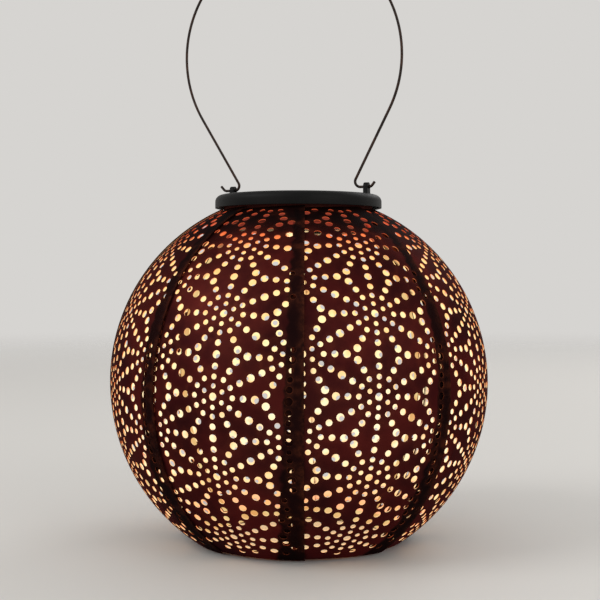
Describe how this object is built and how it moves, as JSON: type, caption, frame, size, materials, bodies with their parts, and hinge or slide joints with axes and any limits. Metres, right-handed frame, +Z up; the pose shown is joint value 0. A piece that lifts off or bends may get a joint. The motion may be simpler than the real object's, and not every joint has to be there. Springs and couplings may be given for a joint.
{
  "type": "hanging lantern",
  "caption": "Round hanging lantern: lapped copper gore panels with a star lattice of holes on a rib frame, a lift-out solar light unit under a black cap, and a swinging wire bail.",
  "frame": {"origin": "centre of the base ring, on the surface that the lantern stands on", "axes": "+Z up along the lantern's axis, +X along the bail's hinge axis"},
  "size_m": [0.2524, 0.2524, 0.4048],
  "materials": {
    "copper_sheet": "satin",
    "copper_frame": "satin",
    "black_plastic": "satin",
    "bail_wire": "satin",
    "bright_steel": "bright",
    "solar_cell": "gloss",
    "clear_cover": "clear",
    "clear_lens": "clear",
    "led_body": "gloss",
    "battery_sleeve": "gloss",
    "board": "satin",
    "black_electric": "satin",
    "grey_plastic": "satin",
    "red_wire": "satin",
    "black_wire": "satin"
  },
  "bodies": {
    "shade": {"shade_panel_1": "copper_sheet", "shade_panel_2": "copper_sheet", "shade_panel_3": "copper_sheet", "shade_panel_4": "copper_sheet", "shade_panel_5": "copper_sheet", "shade_panel_6": "copper_sheet", "shade_panel_7": "copper_sheet", "shade_panel_8": "copper_sheet", "seam_rib_1": "copper_frame", "seam_rib_2": "copper_frame", "seam_rib_3": "copper_frame", "seam_rib_4": "copper_frame", "seam_rib_5": "copper_frame", "seam_rib_6": "copper_frame", "seam_rib_7": "copper_frame", "seam_rib_8": "copper_frame", "base_ring": "copper_frame", "top_collar": "copper_frame"},
    "light_unit": {"cap_housing": "black_plastic", "light_housing": "black_plastic", "cell_cover": "clear_cover", "led_lens": "clear_lens", "housing_screw_1": "bright_steel", "housing_screw_2": "bright_steel", "housing_screw_3": "bright_steel", "solar_cell": "solar_cell", "circuit_board": "board", "boost_coil": "black_electric", "control_chip": "black_electric", "battery": "battery_sleeve", "contact_plate": "bright_steel", "contact_spring": "bright_steel", "led": "led_body", "switch_body": "black_electric", "board_screw_1": "bright_steel", "board_screw_2": "bright_steel", "cell_lead_red": "red_wire", "cell_lead_black": "black_wire", "battery_lead_red": "red_wire", "battery_lead_black": "black_wire"},
    "battery_door": {"battery_door": "black_plastic"},
    "switch_knob": {"switch_knob": "grey_plastic"},
    "bail": {"bail": "bail_wire"}
  },
  "joints": [
    {"name": "cap_lift", "type": "slide", "parent": "shade", "child": "light_unit", "axis": [0, 0, 1], "range_m": [0, 0.045]},
    {"name": "bail_swing", "type": "hinge", "parent": "light_unit", "child": "bail", "pos_m": [0, 0, 0.23552], "axis": [1, 0, 0], "range_deg": [-100, 100]},
    {"name": "battery_door_pull", "type": "slide", "parent": "light_unit", "child": "battery_door", "axis": [0, 0, -1], "range_m": [0, 0.02]},
    {"name": "switch_slide", "type": "slide", "parent": "light_unit", "child": "switch_knob", "axis": [1, 0, 0], "range_m": [0, 0.004]}
  ]
}
